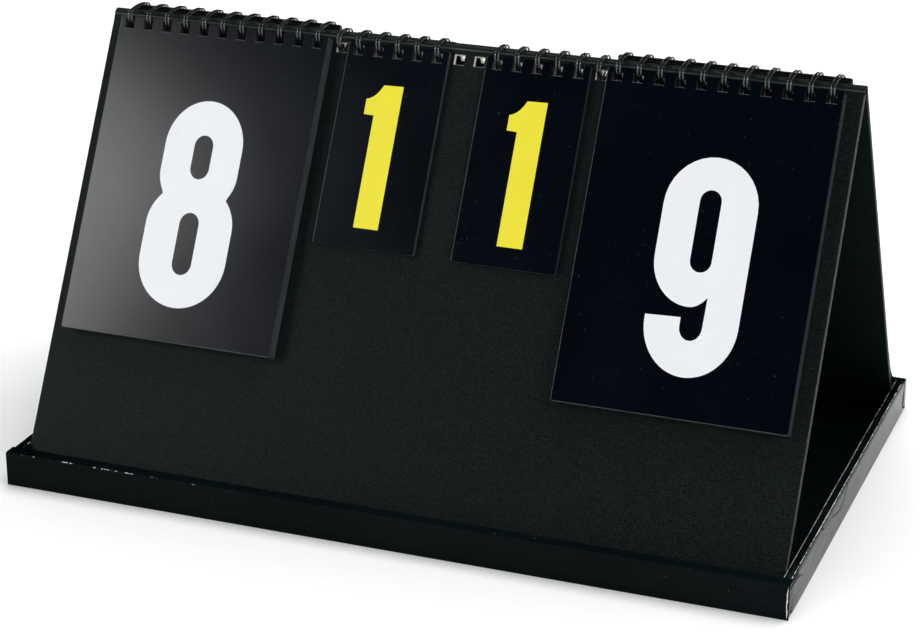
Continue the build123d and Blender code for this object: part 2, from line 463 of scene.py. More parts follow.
def wire_tree():
    """One run of wire bent into twin loops: out along one side, round the tip and back."""
    inputs = {
        "Float": ["Pitch", "Twin", "Closure", "Thickness"],
        "Vector": ["Tall centre", "Tall size", "Low centre", "Low size"],
        "Int": ["Tall first", "Tall last", "Loops"],
        "Material": ["Material"],
    }
    tree = ShapeRecipe("Twin loop wire", inputs)
    points_per_loop = 116.0
    link_start = 0.955
    last_link = 0.046
    facets = 8

    line = tree.add("GeometryNodeCurvePrimitiveLine", {})
    points = tree.times("Loops", points_per_loop)
    dense = tree.add("GeometryNodeResampleCurve", {"Curve": line, "Count": points}, mode="COUNT")
    along = tree.add("GeometryNodeSplineParameter", {}, "Factor")
    travel = tree.times(along, tree.minus("Loops", last_link))
    loop = tree.maths("FLOOR", travel)
    part = tree.maths("FRACT", travel)

    after = tree.maths("GREATER_THAN", loop, tree.minus("Tall first", 0.5))
    before = tree.maths("LESS_THAN", loop, tree.plus("Tall last", 0.5))
    tall = tree.times(after, before)
    centre = tree.chosen(tall, "centre")
    size = tree.chosen(tall, "size")

    tip = (0.44, 0.955), (0.47, 0.974), (0.5, 0.978), (0.53, 0.974), (0.56, 0.955)
    turn = tree.bent(part, (0, 0), *tip, (link_start, 0), (1, 0))
    sides = (0.45, 0), (0.475, 0.16), (0.5, 0.5), (0.525, 0.84), (0.55, 1)
    cross = tree.bent(part, (0, 0), *sides, (1, 1))
    link = tree.bent(part, (0, 0), (link_start, 0), (0.962, 0.05), (0.993, 0.95), (1, 1))
    foot = tree.maths("DIVIDE", tree.minus("Closure", centre["Y"]), size["X"])
    angle = tree.times(tree.maths("ARCCOSINE", foot), -1.0)
    angle = tree.plus(angle, tree.times(turn, -2 * math.pi))
    upward = tree.maths("SINE", angle)
    above = tree.times(tree.maths("MAXIMUM", upward, 0.0), size["Y"])
    under = tree.times(tree.maths("MINIMUM", upward, 0.0), size["Z"])
    x = tree.times(loop, "Pitch")
    x = tree.plus(x, tree.times(tree.minus(cross, 0.5), "Twin"))
    x = tree.plus(x, tree.times(link, tree.minus("Pitch", "Twin")))
    y = tree.plus(centre["Y"], tree.times(tree.maths("COSINE", angle), size["X"]))
    z = tree.plus(centre["Z"], tree.plus(above, under))
    looped = tree.add("GeometryNodeSetPosition", {"Geometry": dense, "Position": tree.vector(x, y, z)})

    radius = tree.times("Thickness", 0.5)
    section = tree.add("GeometryNodeCurvePrimitiveCircle", {"Resolution": facets, "Radius": radius})
    sweep = {"Curve": looped, "Profile Curve": section, "Fill Caps": True}
    return tree.complete(tree.add("GeometryNodeCurveToMesh", sweep))


# ---- finishes ---------------------------------------------------------------
class Finish(Recipe):
    """A material written round one shader."""

    def __init__(self, name, roughness, specular):
        material = bpy.data.materials.new(name)
        material.use_nodes = True
        super().__init__(material.node_tree)
        self.give("Roughness", roughness)
        self.give("Specular IOR Level", specular)

    def give(self, socket, value):
        self.feed(self.tree.nodes["Principled BSDF"].inputs[socket], value)

    def place(self, turn=0.0, stretch=(1, 1, 1)):
        lie = self.add("ShaderNodeTexCoord", {}, "Object")
        return self.add("ShaderNodeMapping", {"Vector": lie, "Rotation": (turn, 0, 0), "Scale": stretch})

    def cloud(self, place, scale, detail=3.0, roughness=0.55):
        inputs = {"Vector": place, "Scale": scale, "Detail": detail, "Roughness": roughness}
        return self.add("ShaderNodeTexNoise", inputs, "Fac")

    def between(self, value, low, high, out_low=0.0, out_high=1.0):
        inputs = {"Value": value, "From Min": low, "From Max": high, "To Min": out_low, "To Max": out_high}
        return self.add("ShaderNodeMapRange", inputs)

    def mix(self, factor, first, second):
        inputs = {0: factor}
        for key, value in ((6, first), (7, second)):
            inputs[key] = (*value, 1.0) if isinstance(value, tuple) else value
        return self.add("ShaderNodeMix", inputs, 2, data_type="RGBA")

    def varied(self, share, base, low, high):
        return self.mix(share, *(tuple(channel * factor for channel in base) for factor in (low, high)))

    # The crease attribute says where paper and film are drawn pale: partly wear, partly painted highlight
    # along edges and folds.
    def crease(self):
        return self.add("ShaderNodeAttribute", {}, "Fac", attribute_name="crease")

    def relief(self, height, distance, strength):
        inputs = {"Strength": strength, "Distance": distance, "Height": height}
        self.give("Normal", self.add("ShaderNodeBump", inputs))


def linen_paper(name, paper, side):
    """Matte black covering paper, embossed with a fine linen grain that follows the board."""
    look = Finish(name, 0.5, 0.1)
    lie = -side * (math.pi / 2 - LEAN)
    place = look.place(lie)
    threads = []
    for direction, scale in (("X", 640.0), ("Y", 560.0)):
        wave = {"Vector": place, "Scale": scale, "Distortion": 3.2, "Detail": 2.0, "Detail Scale": 1.6}
        threads.append(look.add("ShaderNodeTexWave", wave, "Fac", bands_direction=direction))
    weave = look.times(*threads)
    grit = look.cloud(place, 2300.0, 2.0)
    mottle = look.cloud(look.place(lie, (0.8, 1.1, 1)), 1500.0, 2.0, 0.7)
    height = look.plus(look.times(weave, 0.5), look.times(grit, 0.35))
    height = look.plus(height, look.times(mottle, 0.5))
    patches = look.between(look.cloud(place, 14.0, 4.0), 0.3, 0.7)
    base = look.varied(patches, paper, 0.8, 1.15)
    pale = look.varied(patches, paper, 2.1, 2.7)
    pores = tuple(channel * 0.12 for channel in paper)
    grain = look.mix(look.between(mottle, 0.36, 0.64), pores, pale)
    grain = look.mix(look.between(weave, 0.0, 0.8, 0.1, 0.4), grain, base)
    flecks = look.between(look.cloud(place, 900.0, 1.0), 0.66, 0.74)
    dusty = look.mix(look.times(flecks, 0.1), grain, (0.05, 0.06, 0.058))
    # Where the crease attribute is set the paper turns pale grey: partly rubbed paper, partly painted
    # highlight along edges and creases.
    rubbed = look.times(look.crease(), look.between(look.cloud(place, 120.0, 4.0), 0.3, 0.6, 0.35, 1.0))
    look.give("Base Color", look.mix(rubbed, dusty, (0.09, 0.1, 0.095)))
    look.give("Roughness", look.between(height, 0.2, 0.9, 0.4, 0.55))
    look.relief(height, 0.06 * MM, 0.85)


def gloss_film(name, film, specular):
    """Black film folded over board: soft wrinkles, and broken pale lines along the creases that are partly
    scuffed film and partly painted highlight.
    """
    look = Finish(name, 0.2, specular)
    place = look.place()
    crease = look.crease()
    ripples = look.cloud(look.place(stretch=(1, 1, 2.4)), 95.0, 5.0, 0.6)
    tight = look.cloud(place, 620.0, 4.0, 0.65)
    line_breakup = look.cloud(place, 380.0, 4.0, 0.7)
    # Pale grey marks where the crease attribute is high: partly scuffed film, partly painted highlight along
    # the folds.
    reach = look.times(look.minus(crease, 1.0), 0.6)
    scuffs_and_highlights = look.between(look.plus(line_breakup, reach), 0.5, 0.57)
    dust = look.between(look.cloud(place, 1100.0, 0.0), 0.86, 0.87)
    haze = look.between(look.cloud(place, 9.0, 3.0), 0.35, 0.75)
    base = look.varied(haze, film, 0.7, 1.5)
    worn_and_highlit = look.mix(look.times(scuffs_and_highlights, 0.9), base, (0.72, 0.73, 0.72))
    look.give("Base Color", look.mix(look.times(dust, 0.35), worn_and_highlit, (0.3, 0.3, 0.29)))
    folded = look.minus(look.cloud(look.place(stretch=(1, 0.4, 1.2)), 48.0, 1.0), 0.5)
    folded = look.between(look.maths("ABSOLUTE", folded), 0.003, 0.012, 1.0, 0.0)
    folded = look.times(folded, look.between(haze, 0.6, 0.7))
    gloss = look.plus(look.between(haze, 0, 1, 0.16, 0.27), look.times(scuffs_and_highlights, 0.15))
    look.give("Roughness", look.plus(gloss, look.times(folded, 0.35)))
    folds = look.times(tight, look.plus(look.times(crease, 1.6), 0.12))
    folds = look.minus(folds, look.times(folded, 0.5))
    look.relief(look.plus(ripples, folds), 0.7 * MM, 0.6)


def coated_card(name, face):
    """Blue-black coated card with a satin face and a very fine grain."""
    look = Finish(name, 0.2, 0.44)
    place = look.place()
    patches = look.cloud(place, 22.0, 4.0)
    specks = look.between(look.cloud(place, 800.0, 0.0), 0.81, 0.84)
    base = look.varied(look.between(patches, 0.3, 0.7), face, 0.8, 1.3)
    look.give("Base Color", look.mix(look.times(specks, 0.1), base, (0.1, 0.12, 0.13)))
    look.give("Roughness", look.between(patches, 0.2, 0.8, 0.14, 0.19))
    look.relief(look.cloud(place, 1800.0, 2.0), 0.02 * MM, 0.5)


def plain_grain(name, base, roughness, scale, depth, spread=0.2, specular=0.4):
    """A colour that varies a little, with a fine relief: ink, raw board, card edges, wire."""
    look = Finish(name, roughness, specular)
    place = look.place()
    fine = look.cloud(place, scale, 4.0)
    broad = look.cloud(place, scale / 24, 3.0)
    shade = look.between(look.plus(look.times(fine, 0.6), look.times(broad, 0.4)), 0.3, 0.7)
    look.give("Base Color", look.varied(shade, base, 1 - spread, 1 + spread * 0.4))
    look.give("Roughness", look.between(fine, 0.3, 0.7, roughness * 0.85, roughness * 1.15))
    look.relief(fine, depth * MM, 0.6)


class BOARD_OT_finishes(bpy.types.Operator):
    """Make every finish the pieces use"""

    bl_idname = "board.finishes"
    bl_label = "Finishes"

    def execute(self, context):
        scene = context.scene
        cards = scene.board_cards
        linen_paper("front_linen_paper", tuple(scene.board_tent.paper), FRONT)
        linen_paper("rear_linen_paper", tuple(scene.board_tent.paper), REAR)
        gloss_film("tray_gloss_film", tuple(scene.board_tray.film), 0.14)
        # The front wall's copy of the film reflects much less than the rest: painted shade, standing for the
        # dark surroundings it faces.
        gloss_film("tray_front_film", tuple(scene.board_tray.film), 0.045)
        coated_card("coated_card", tuple(cards.face))
        plain_grain("card_cut_edge", (0.06, 0.066, 0.07), 0.5, 2600.0, 0.02, 0.5)
        # Pale rim on the flip card: partly rubbed laminate, partly painted highlight.
        plain_grain("card_rubbed_rim", (0.07, 0.085, 0.085), 0.45, 1500.0, 0.01, 0.9)
        plain_grain("raw_grey_board", (0.72, 0.71, 0.67), 0.85, 900.0, 0.1, 0.3)
        plain_grain("torn_white_paper", (0.8, 0.78, 0.72), 0.8, 1200.0, 0.1, 0.15)
        plain_grain("white_ink", tuple(cards.points_ink), 0.42, 1400.0, 0.01, 0.05)
        plain_grain("yellow_ink", tuple(cards.sets_ink), 0.42, 1400.0, 0.01, 0.05)
        plain_grain("coated_wire", tuple(scene.board_wires.coat), 0.22, 1100.0, 0.02, 0.4, 1.0)
        # A darker, matte copy of the card's cut edge for the tops of the turned piles: painted shade.
        plain_grain("card_dark_edge", (0.002, 0.0035, 0.005), 0.7, 2600.0, 0.02, 0.5, 0.1)
        for slot in frame["nodes"]["tray_corner_tucks"].material_slots:
            slot.material = finish("raw_grey_board")
        return {"FINISHED"}


# ---- tray -------------------------------------------------------------------
# The wall's last two fields say how strongly its creases are marked pale, and the middle, spread and least
# share of that marking along the wall; the marking is partly wear and partly painted highlight.
Wall = namedtuple("Wall", "rim start end out steps wear rubbed")


def bow(start, pull, end, steps):
    """Points on a curve from start to end that leans towards pull."""
    shares = [step / steps for step in range(steps + 1)]
    return [start * (1 - share) ** 2 + pull * 2 * share * (1 - share) + end * share**2 for share in shares]


def wall_section(tray, rim, floor_top, wear, rounding, outer_wear_and_highlight_shares):
    """Section of a wrapped wall: (outward distance, height, crease share), outer side first; the crease share
    marks the film pale, partly as wear and partly as painted highlight.
    """
    foot = 0.1 * MM
    skirt = rim - 0.45 * MM
    outer_top, inner_top = Vector((rim, tray.height)), Vector((0, tray.height))
    outer_foot, inner_foot = Vector((rim, foot)), Vector((0, floor_top))
    straight = 1 - tray.crease * rounding / (tray.height - foot)

    def run(start, end, *shares):
        return [(*start.lerp(end, share), 0.0) for share in shares]

    def fold(corner, start, end, radius, wear_and_highlight_shares):
        arms = [corner + (arm - corner).normalized() * radius for arm in (start, end)]
        bend = bow(arms[0], corner, arms[1], len(wear_and_highlight_shares) - 1)
        return [(*point, wear * worn_and_highlit) for point, worn_and_highlit in zip(bend, wear_and_highlight_shares)]

    return [
        (skirt, floor_top, 0),
        (skirt, foot, 0),
        *run(outer_foot, outer_top, *(straight * share for share in (0, 0.17, 0.34, 0.51, 0.68, 0.84, 0.97))),
        *fold(outer_top, outer_foot, inner_top, tray.crease * rounding, outer_wear_and_highlight_shares),
        *run(outer_top, inner_top, 0.22, 0.36, 0.5, 0.64, 0.78),
        *fold(inner_top, outer_top, inner_foot, tray.crease, (0.3, 0.85, 1.0, 0.85, 0.3)),
        *run(inner_top, inner_foot, 0.15, 0.35, 0.7, 1.0),
    ]


def crumple(place, seed, size):
    """Wrinkle height at a place: long ripples with a few sharp folds."""
    shift = Vector((seed * 3.7, seed * 1.3, 0))
    broad = noise.noise(Vector((place.x * 34, place.y * 34, place.z * 90)) + shift)
    tight = noise.ridged_multi_fractal(place * 140 + shift, 0.9, 2.1, 3, 1.0, 2.0) - 1.2
    return (broad * 0.7 + tight * 0.28) * size


def wrapped_wall(wall, section, wrinkle, seed):
    """A wall swept from start to end; its last field gives the middle, spread and least share of its crease
    marking, which is partly wear and partly painted highlight.
    """
    shape = bmesh.new()
    layer = shape.verts.layers.float.new("crease")
    start, end, out = (Vector((*spot, 0)) for spot in (wall.start, wall.end, wall.out))
    along = end - start
    corner_reach = 9 * MM
    most_bulge = 0.1 * MM
    inset = 0.11 * MM / wall.rim
    lowest = 0.05 * MM
    middle, spread, least = wall.rubbed
    rings = []
    for step in range(wall.steps + 1):
        share = step / wall.steps
        near_end = max(0.0, 1 - min(share, 1 - share) * along.length / corner_reach)
        worn_and_highlit = least + (1 - least) * math.exp(-(((share - middle) / spread) ** 2))
        ring = []
        for distance, height, crease in section:
            place = start + along * share + out * distance + Vector((0, 0, height))
            lively = wrinkle * (0.45 + 1.3 * crease * worn_and_highlit + 2.0 * near_end)
            bulge = crumple(place, seed, lively)
            lift = crumple(place + Vector((0.31, 0.17, 0.05)), seed, lively * crease)
            place = place + out * (min(bulge, most_bulge) - inset * distance)
            place.z = max(place.z - abs(lift) * 0.6, lowest)
            vertex = shape.verts.new(place)
            vertex[layer] = crease * worn_and_highlit
            ring.append(vertex)
        rings.append(ring)
    close_tube(shape, rings)
    return shape


class BOARD_OT_tray(bpy.types.Operator):
    """Build the wrapped tray: floor, four folded walls and the torn corner edge"""

    bl_idname = "board.tray"
    bl_label = "Tray"

    def execute(self, context):
        tray = context.scene.board_tray
        low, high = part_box("tray_floor")
        self.lining(low, high)
        tuck = 0.05 * MM
        front_rim, side_rim, rear_rim = tray.front_rim, tray.side_rim, tray.rear_rim
        left, right = low.x + side_rim, high.x - side_rim
        front, rear = low.y + front_rim, high.y - rear_rim
        near, far = front - tuck, rear + tuck
        walls = {
            "front": Wall(front_rim, (low.x, front), (high.x, front), (0, -1), 220, 1.0, (0.13, 0.1, 0.72)),
            "rear": Wall(rear_rim, (high.x, rear), (low.x, rear), (0, 1), 200, 1.0, (0.5, 0.4, 0.9)),
            "left": Wall(side_rim, (left, far), (left, near), (-1, 0), 160, 1.0, (0.8, 0.3, 0.8)),
            "right": Wall(side_rim, (right, near), (right, far), (1, 0), 160, 1.4, (0.4, 0.35, 0.82)),
        }
        # The crease shares below mark the film pale at its folds: partly wear, partly painted highlight.
        tight = 1.0, (0.3, 0.8, 1.0, 0.8, 0.3)
        broad = 2.1, (0.0, 0.0, 0.3, 0.9, 1.0)
        for seed, (side, wall) in enumerate(walls.items(), 1):
            edge = broad if side in ("left", "right") else tight
            section = wall_section(tray, wall.rim, high.z + 0.02 * MM, wall.wear, *edge)
            shape = wrapped_wall(wall, section, tray.wrinkle, seed)
            # The front wall takes the less reflective copy of the film: painted shade.
            film = "tray_front_film" if side == "front" else "tray_gloss_film"
            piece = piece_from(f"tray_{side}_wrap", shape, 50, film)
            settle(piece, "tray", "tray_film", f"tray_{side}_wall")
        self.torn_edge(high.x, low.y, tray.height)
        return {"FINISHED"}

    def lining(self, low, high):
        """The lined floor, a little inside the walls' skirts."""
        shape = bmesh.new()
        inset = 0.5 * MM
        deepest_dip = 0.12 * MM
        columns, rows = 60, 40
        sheet = []
        for row in range(rows + 1):
            line = []
            for column in range(columns + 1):
                x = low.x + inset + (high.x - low.x - 2 * inset) * column / columns
                y = low.y + inset + (high.y - low.y - 2 * inset) * row / rows
                inner = 0 < row < rows and 0 < column < columns
                dip = abs(noise.noise(Vector((x * 30, y * 30, 4)))) * deepest_dip if inner else 0.0
                line.append([shape.verts.new((x, y, z)) for z in (low.z, high.z - dip)])
            sheet.append(line)
        close_sheet(shape, sheet)
        piece = piece_from("tray_lining", shape, 30, "tray_gloss_film")
        settle(piece, "tray", "tray_film", "tray_floor")

    def torn_edge(self, x, y, height):
        """The white paper that shows where the film has split down the front right corner."""
        shape = bmesh.new()
        foot, top = 0.6 * MM, height - 0.8 * MM
        depth = 0.1 * MM
        steps = 26
        corners = [corner * math.pi / 3 for corner in range(6)]
        rings = []
        for step in range(steps + 1):
            share = step / steps
            z = foot + (top - foot) * share
            drift = noise.noise(Vector((z * 260, 3.1, 0))) * 0.5 * MM
            fade = min(1.0, 5 * share + 0.15, 4 * (1 - share) + 0.1)
            width = (0.2 + 0.16 * noise.noise(Vector((z * 700, 9.0, 0)))) * MM * fade
            middle = Vector((x - 0.75 * MM + drift, y + 0.11 * MM, z))
            ring = [middle + Vector((math.cos(turn) * width, math.sin(turn) * depth, 0)) for turn in corners]
            rings.append([shape.verts.new(spot) for spot in ring])
        close_tube(shape, rings)
        settle(piece_from("torn_corner_edge", shape, 60, "torn_white_paper"), "tray", "raw_board")


# ---- boards and strips ------------------------------------------------------
def punched(name, sizes, finishes, sheets=1, stray=0.0, seed=0):
    """Grow a pile of equal punched sheets that lie close on one another."""
    tree = bpy.data.node_groups.get("Punched sheets") or sheet_tree()
    pile = {"Hole pitch": HOLE_PITCH, "Sheets": sheets, "Stray": stray, "Seed": seed}
    return grow(name, tree, {**sizes, **pile}, *finishes)


class BOARD_OT_boards(bpy.types.Operator):
    """Build the two covered boards with their punched row"""

    bl_idname = "board.boards"
    bl_label = "Boards"

    def execute(self, context):
        tent = context.scene.board_tent
        sizes = {
            "Width": tent.width,
            "Height": BOARD_LENGTH,
            "Corner": 1.1 * MM,
            "Thickness": BOARD_THICKNESS,
            "Sheet pitch": 0.0,
            "Hole width": tent.hole_width,
            "Hole height": tent.hole_height,
            "Hole drop": tent.hole_drop,
            "Holes": HOLE_COUNT,
        }
        for side, name in ((FRONT, "front"), (REAR, "rear")):
            covers = f"{name}_linen_paper", "raw_grey_board"
            piece = punched(f"{name}_board_covered", sizes, covers)
            self.bare_hole_walls(piece.data, tent)
            bevel = piece.modifiers.new("Edge", "BEVEL")
            bevel.width = tent.edge
            bevel.segments = 2
            bevel.limit_method = "ANGLE"
            bevel.angle_limit = math.radians(60)
            bevel.use_clamp_overlap = False
            bake(piece)
            self.rub_and_highlight_edges(piece.data, tent)
            smooth(piece.data, 40)
            for face in piece.data.polygons:
                face.use_smooth = abs(face.normal.z) < 0.98
            piece.data.transform(board_place(side, BOARD_INNER))
            settle(piece, f"{name}_panel", "board_cover", f"{name}_board")
        return {"FINISHED"}

    def rub_and_highlight_edges(self, mesh, tent):
        """Mark the outermost ring of the outer face's rounded edge pale: partly rubbed paper, partly a
        painted highlight line along the edge.
        """
        rubbed = mesh.attributes.new("crease", "FLOAT", "POINT")
        reach = tent.edge * 0.8
        for vertex, value in zip(mesh.vertices, rubbed.data):
            x, y, z = vertex.co
            inset = min(tent.width / 2 - abs(x), -y, BOARD_LENGTH + y)
            value.value = float(inset < reach and BOARD_THICKNESS - z < reach)

    def bare_hole_walls(self, mesh, tent):
        """Faces inside the punched holes show the raw board."""
        for face in mesh.polygons:
            middle = face.center
            in_row = abs(middle.y + tent.hole_drop) < tent.hole_height * 0.55
            inside = abs(middle.x) < tent.width / 2 - 2 * MM
            if abs(face.normal.z) < 0.3 and in_row and inside:
                face.material_index = 1


def swept_strip(name, path, half_width, thickness, columns, seed, ripple, highlit_creases, film):
    """A thin strip along a path of (y, z) points, wide along X, marked pale at the numbered creases, partly
    as rubbing and partly as painted highlight lines.
    """
    shape = bmesh.new()
    layer = shape.verts.layers.float.new("crease")
    last = len(path) - 1
    rows = []
    for i, point in enumerate(path):
        tangent = (path[min(i + 1, last)] - path[max(i - 1, 0)]).normalized()
        normal = Vector((tangent.y, -tangent.x))
        swing = ripple * math.sin(math.pi * i / last)
        row = []
        for column in range(columns + 1):
            x = -half_width + 2 * half_width * column / columns
            bulge = swing * noise.noise(Vector((x * 60, i * 0.35, seed)))
            spots = [point + normal * (level + bulge) for level in (0.0, thickness)]
            row.append([shape.verts.new((x, *spot)) for spot in spots])
            for vertex in row[-1]:
                vertex[layer] = float(i in highlit_creases)
        rows.append(row)
    close_sheet(shape, rows)
    return piece_from(name, shape, 50, film)


class BOARD_OT_strips(bpy.types.Operator):
    """Build the ridge strip and the film hinge at the rear"""

    bl_idname = "board.strips"
    bl_label = "Ridge strip and rear hinge"

    def execute(self, context):
        half = context.scene.board_tent.width / 2
        self.ridge(half)
        self.hinge(half, context.scene.board_tray.height)
        return {"FINISHED"}

    def ridge(self, half):
        """The strip of covering paper bent over the ridge."""
        reach = BOARD_OUTER + 0.28 * MM
        arc_steps = 16
        over = [on_cover(REAR, down * MM) for down in (1.75, 1.1, 0.5)]
        for step in range(arc_steps + 1):
            angle = LEAN + (math.pi - 2 * LEAN) * step / arc_steps
            over.append(Vector((RIDGE.y, RIDGE.z)) + Vector((math.cos(angle), math.sin(angle))) * reach)
        over += [on_cover(FRONT, down * MM) for down in (0.5, 1.1, 1.75)]
        half -= 0.1 * MM
        # The ridge strip's three creases take pale lines: painted highlights along the fold, partly rubbed
        # paper.
        rubbed = 3, 12, 19
        paper = "front_linen_paper"
        strip = swept_strip("ridge_cover", over[::-1], half, 0.22 * MM, 90, 2.0, 0.06 * MM, rubbed, paper)
        settle(strip, None, "board_cover", "ridge_strip")
        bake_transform(strip)

    def hinge(self, half, rim_z):
        """The film that leaves the rear board, sags and lands on the rear wall's rim."""
        leave_z = 26 * MM
        seat_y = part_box("rear_hinge_strip")[1].y - 2.4 * MM
        down = (RIDGE.z + BOARD_OUTER * math.sin(LEAN) - leave_z) / math.cos(LEAN)
        leave = on_cover(REAR, down)
        seat = Vector((seat_y, rim_z + 0.02 * MM))
        sag = Vector((seat.x - 6.0 * MM, seat.y + 2.0 * MM))
        path = [on_cover(REAR, down - rise * MM) for rise in (9.0, 6.0, 3.0, 1.2)]
        path += bow(leave, sag, seat, 12)
        path += [seat + Vector((run * MM, 0)) for run in (0.8, 1.6, 2.3)]
        film = "tray_gloss_film"
        # The hinge film's two folds take pale lines: partly scuffed film, partly painted highlight.
        web = swept_strip("rear_hinge_film", path[::-1], half, 0.2 * MM, 110, 5.0, 0.3 * MM, (3, 15), film)
        settle(web, None, "tray_film", "rear_hinge_strip")
        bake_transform(web)


# ---- wires ------------------------------------------------------------------
class BOARD_OT_wires(bpy.types.Operator):
    """Bend the two twin-loop wires through their holes"""

    bl_idname = "board.wires"
    bl_label = "Twin-loop wires"

    def execute(self, context):
        wires = context.scene.board_wires
        tree = wire_tree()
        values = {
            "Pitch": HOLE_PITCH,
            "Twin": wires.twin,
            "Closure": -1.2 * MM,
            "Thickness": wires.thickness,
            "Tall centre": (0, -1.37 * MM, 3.46 * MM),
            "Tall size": (wires.tall_depth, wires.tall_rise, wires.tall_sag),
            "Low centre": (0, -1.55 * MM, 2.03 * MM),
            "Low size": (wires.low_depth, wires.low_rise, wires.low_sag),
            "Loops": 17,
        }
        for name, first, tall_first, tall_last in (("left_wire", 1, 0, 10), ("right_wire", 20, 6, 16)):
            values["Tall first"] = tall_first
            values["Tall last"] = tall_last
            piece = grow(f"{name}_loops", tree, values, "coated_wire")
            piece.data.transform(Matrix.Translation(RIDGE + Vector((hole_x(first), 0, 0))))
            smooth(piece.data, 60)
            settle(piece, None, "wire_black", name)
            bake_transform(piece)
        return {"FINISHED"}


# ---- cards ------------------------------------------------------------------
def front_places(cards, resting):
    """How far out the front stack, the next card and the flip card begin."""
    start = BOARD_OUTER + CARD_GAP
    next_at = start + resting * cards.thickness + CARD_GAP / 2
    return start, next_at, next_at + cards.thickness + CARD_GAP


def mark_edges(mesh, top=1):
    """Side faces of the sheets take the cut-edge finish, those along the top the one given."""
    for face in mesh.polygons:
        if abs(face.normal.z) < 0.5:
            face.material_index = top if face.normal.y > 0.5 else 1


def rub_and_highlight_rim(mesh, width, half, height, foot):
    """A narrow pale rim, partly rubbed laminate and partly painted highlight: down the left side, round the
    lower half of the holes, at the foot if asked.
    """
    shape = bmesh.new()
    shape.from_mesh(mesh)
    front = [face for face in shape.faces if face.normal.z > 0.9]
    ring = bmesh.ops.inset_region(shape, faces=front, thickness=width, use_even_offset=True)
    edge = 2 * width
    holes_foot, holes_middle = -6 * MM, -3.2 * MM
    for face in ring["faces"]:
        middle = face.calc_center_median()
        at_left = middle.x < -half + edge
        at_hole = holes_foot < middle.y < holes_middle and abs(middle.x) < half - edge
        at_foot = foot and middle.y < -height + edge
        if at_left or at_hole or at_foot:
            face.material_index = 2
    shape.to_mesh(mesh)
    shape.free()


class BOARD_OT_cards(bpy.types.Operator):
    """Stack the punched cards on both sides of the ridge"""

    bl_idname = "board.cards"
    bl_label = "Cards"

    def execute(self, context):
        cards = context.scene.board_cards
        covers = "coated_card", "card_cut_edge"
        for number, (name, group) in enumerate(CARD_SETS.items()):
            first_seed = cards.seed + 10 * number
            sizes = {
                "Width": getattr(cards, f"{group.kind}_width"),
                "Height": getattr(cards, f"{group.kind}_height"),
                "Corner": cards.corner,
                "Thickness": cards.thickness * 0.96,
                "Sheet pitch": cards.thickness,
                "Hole width": cards.hole_width,
                "Hole height": cards.hole_height,
                "Hole drop": cards.hole_drop,
                "Holes": group.holes,
            }
            start, next_at, flip_at = front_places(cards, group.resting)
            rows = [
                ("front_stack", start, group.resting, cards.stray, "front_panel"),
                ("next_card", next_at, 1, 0.0, "front_panel"),
                ("flip_card", flip_at, 1, 0.0, f"{name}_card"),
            ]
            for row, (label, distance, sheets, stray, body) in enumerate(rows):
                piece = punched(f"{name}_{label}_sheets", sizes, covers, sheets, stray, first_seed + row)
                mark_edges(piece.data)
                if label == "flip_card":
                    # The flip card gets a pale rim: partly rubbed laminate, partly painted highlight.
                    piece.data.materials.append(finish("card_rubbed_rim"))
                    half, height = sizes["Width"] / 2, sizes["Height"]
                    rub_and_highlight_rim(piece.data, cards.rim, half, height, group.kind == "points")
                piece.data.transform(board_place(FRONT, distance, hole_x(group.middle), cards.top_drop))
                settle(piece, body, "card_black", f"{name}_{label}")
            self.turned(name, group, cards, sizes, covers, first_seed + 5)
        return {"FINISHED"}

    def turned(self, name, group, cards, sizes, covers, seed):
        """The cards already turned over, leaning on the wires at the rear."""
        for layer, (distance, drop, sheets) in enumerate(group.layers):
            piece = punched(f"{name}_turned_{layer}", sizes, covers, sheets, cards.stray, seed + layer)
            # The turned piles' top edges take the darker copy of the cut edge: painted shade.
            piece.data.materials.append(finish("card_dark_edge"))
            mark_edges(piece.data, top=2)
            place = board_place(REAR, distance * MM, hole_x(group.middle), drop * MM, TURNED_TILT)
            piece.data.transform(place)
            nodes = () if layer else (f"{name}_flipped_stack",)
            settle(piece, "rear_panel", "card_black", *nodes)


# ---- numerals ---------------------------------------------------------------
def oval_span(position, top, bottom, cap_top, cap_bottom, half):
    """Half width of an upright oval-ended bar at a height; zero outside it."""
    if position <= top or position >= bottom:
        return 0.0
    if position < top + cap_top:
        share = (top + cap_top - position) / cap_top
    elif position > bottom - cap_bottom:
        share = (position - bottom + cap_bottom) / cap_bottom
    else:
        return half
    return half * math.sqrt(max(0.0, 1 - share * share))


def symmetric_outline(centre, *bars, steps=90):
    """Closed outline, as (across, down) points, round the union of bars on one centre line."""
    top = min(bar[0] for bar in bars)
    bottom = max(bar[1] for bar in bars)
    right, left = [], []
    for step in range(steps + 1):
        share = (1 - math.cos(math.pi * step / steps)) / 2
        position = top + (bottom - top) * share
        half = max(oval_span(position, *bar) for bar in bars)
        right.append((centre + half, position))
        left.append((centre - half, position))
    return right + left[::-1]


def arc_points(centre, half, height, start, end, steps=18):
    """Points of an ellipse's arc; angles in degrees, 0 to the right, 90 downwards."""
    points = []
    for step in range(steps + 1):
        angle = math.radians(start + (end - start) * step / steps)
        points.append((centre[0] + half * math.cos(angle), centre[1] + height * math.sin(angle)))
    return points


def eight():
    outer = symmetric_outline(0, (0, 46.5, 19, 16.5, 17.2), (34, 86, 18.5, 20, 19.2))
    upper = symmetric_outline(0, (14.3, 32.6, 4.6, 4.6, 4.15), steps=40)
    lower = symmetric_outline(0, (46.6, 72.4, 4.8, 4.8, 4.3), steps=40)
    return [outer, upper, lower]


